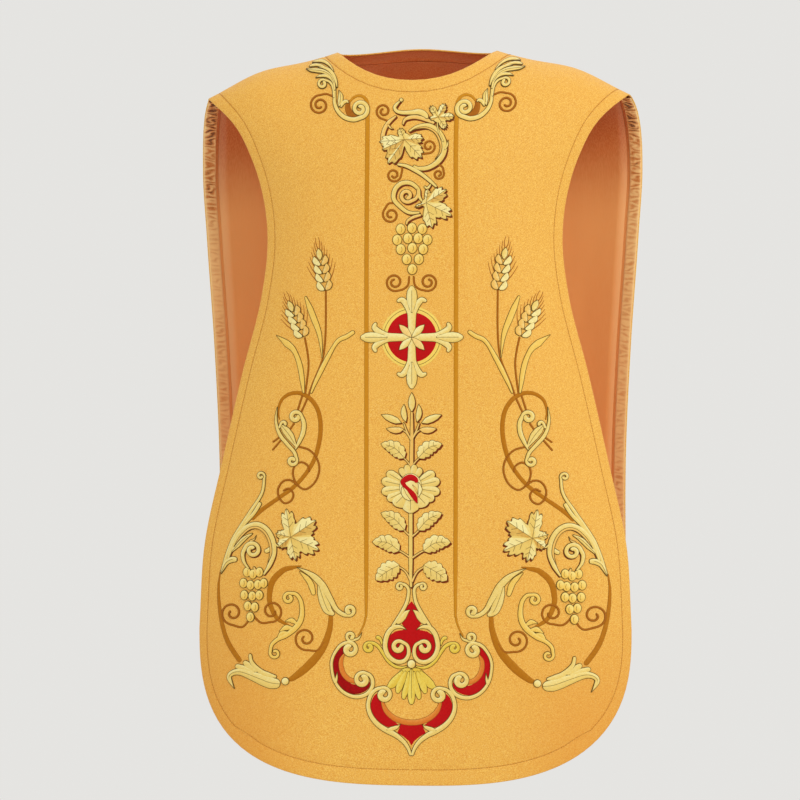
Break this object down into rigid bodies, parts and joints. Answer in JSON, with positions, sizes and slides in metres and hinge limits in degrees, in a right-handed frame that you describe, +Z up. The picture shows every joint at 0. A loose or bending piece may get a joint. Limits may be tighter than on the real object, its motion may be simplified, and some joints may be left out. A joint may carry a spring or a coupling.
{
  "type": "roman chasuble",
  "caption": "Gold fiddleback chasuble in its worn shape: front and back panels joined at the shoulders, open sides, round neck, raised vine, cross and rose embroidery, rust satin lining.",
  "frame": {"origin": "midway between the shoulders, 5 mm above the neck ends of the two shoulder seams, where the wearer's shoulders hold the garment", "axes": "+Z up, the front faces -Y, and +X is to the right as the front is seen, which is the wearer's left"},
  "size_m": [0.6348, 0.2976, 1.0513],
  "materials": {
    "gold_cloth": "gold cloth with fine metallic specks, satin sheen",
    "gold_turned_edge": "gold-orange satin, turned in and puckered by its stitching",
    "rust_satin": "rust-orange lining satin",
    "tan_thread": "tan gold thread, laid in satin stitch",
    "cream_gold_thread": "cream and gold metallic thread, satin stitch",
    "yellow_thread": "yellow-green metallic thread, satin stitch"
  },
  "bodies": {
    "root": {"acanthus_left": "cream_gold_thread", "acanthus_right": "cream_gold_thread", "back_edge_left": "gold_turned_edge", "back_edge_right": "gold_turned_edge", "back_lining": "rust_satin", "back_panel": "gold_cloth", "blade_inner_left": "tan_thread", "blade_inner_right": "tan_thread", "blade_outer_left": "tan_thread", "blade_outer_right": "tan_thread", "cross": "cream_gold_thread", "cross_ring": "cream_gold_thread", "foot_leaf_left": "cream_gold_thread", "foot_leaf_right": "cream_gold_thread", "foot_scroll_left": "cream_gold_thread", "foot_scroll_right": "cream_gold_thread", "front_panel": "gold_cloth", "grapes_left": "cream_gold_thread", "grapes_middle": "cream_gold_thread", "grapes_right": "cream_gold_thread", "great_scroll_left": "cream_gold_thread", "great_scroll_right": "cream_gold_thread", "heart_scroll_left": "cream_gold_thread", "heart_scroll_right": "cream_gold_thread", "hook_left": "tan_thread", "hook_right": "tan_thread", "inner_scroll_left": "tan_thread", "inner_scroll_right": "tan_thread", "knot_left": "cream_gold_thread", "knot_right": "cream_gold_thread", "neck_scroll_left": "cream_gold_thread", "neck_scroll_right": "cream_gold_thread", "orphrey_line_left": "tan_thread", "orphrey_line_right": "tan_thread", "palmette": "yellow_thread", "ring_stem_left": "tan_thread", "ring_stem_right": "tan_thread", "rose": "cream_gold_thread", "rose_leaves_1": "cream_gold_thread", "rose_leaves_2": "cream_gold_thread", "rose_leaves_3": "cream_gold_thread", "rose_leaves_4": "cream_gold_thread", "rose_leaves_5": "cream_gold_thread", "rose_stem": "cream_gold_thread", "s_leaf_left": "cream_gold_thread", "s_leaf_right": "cream_gold_thread", "side_scroll_left": "cream_gold_thread", "side_scroll_right": "cream_gold_thread", "vine_curl": "cream_gold_thread", "vine_leaf_left": "cream_gold_thread", "vine_leaf_lower": "cream_gold_thread", "vine_leaf_right": "cream_gold_thread", "vine_leaf_upper": "cream_gold_thread", "vine_stem": "cream_gold_thread", "wheat_short_left": "tan_thread", "wheat_short_right": "tan_thread", "wheat_tall_left": "tan_thread", "wheat_tall_right": "tan_thread"}
  },
  "joints": []
}
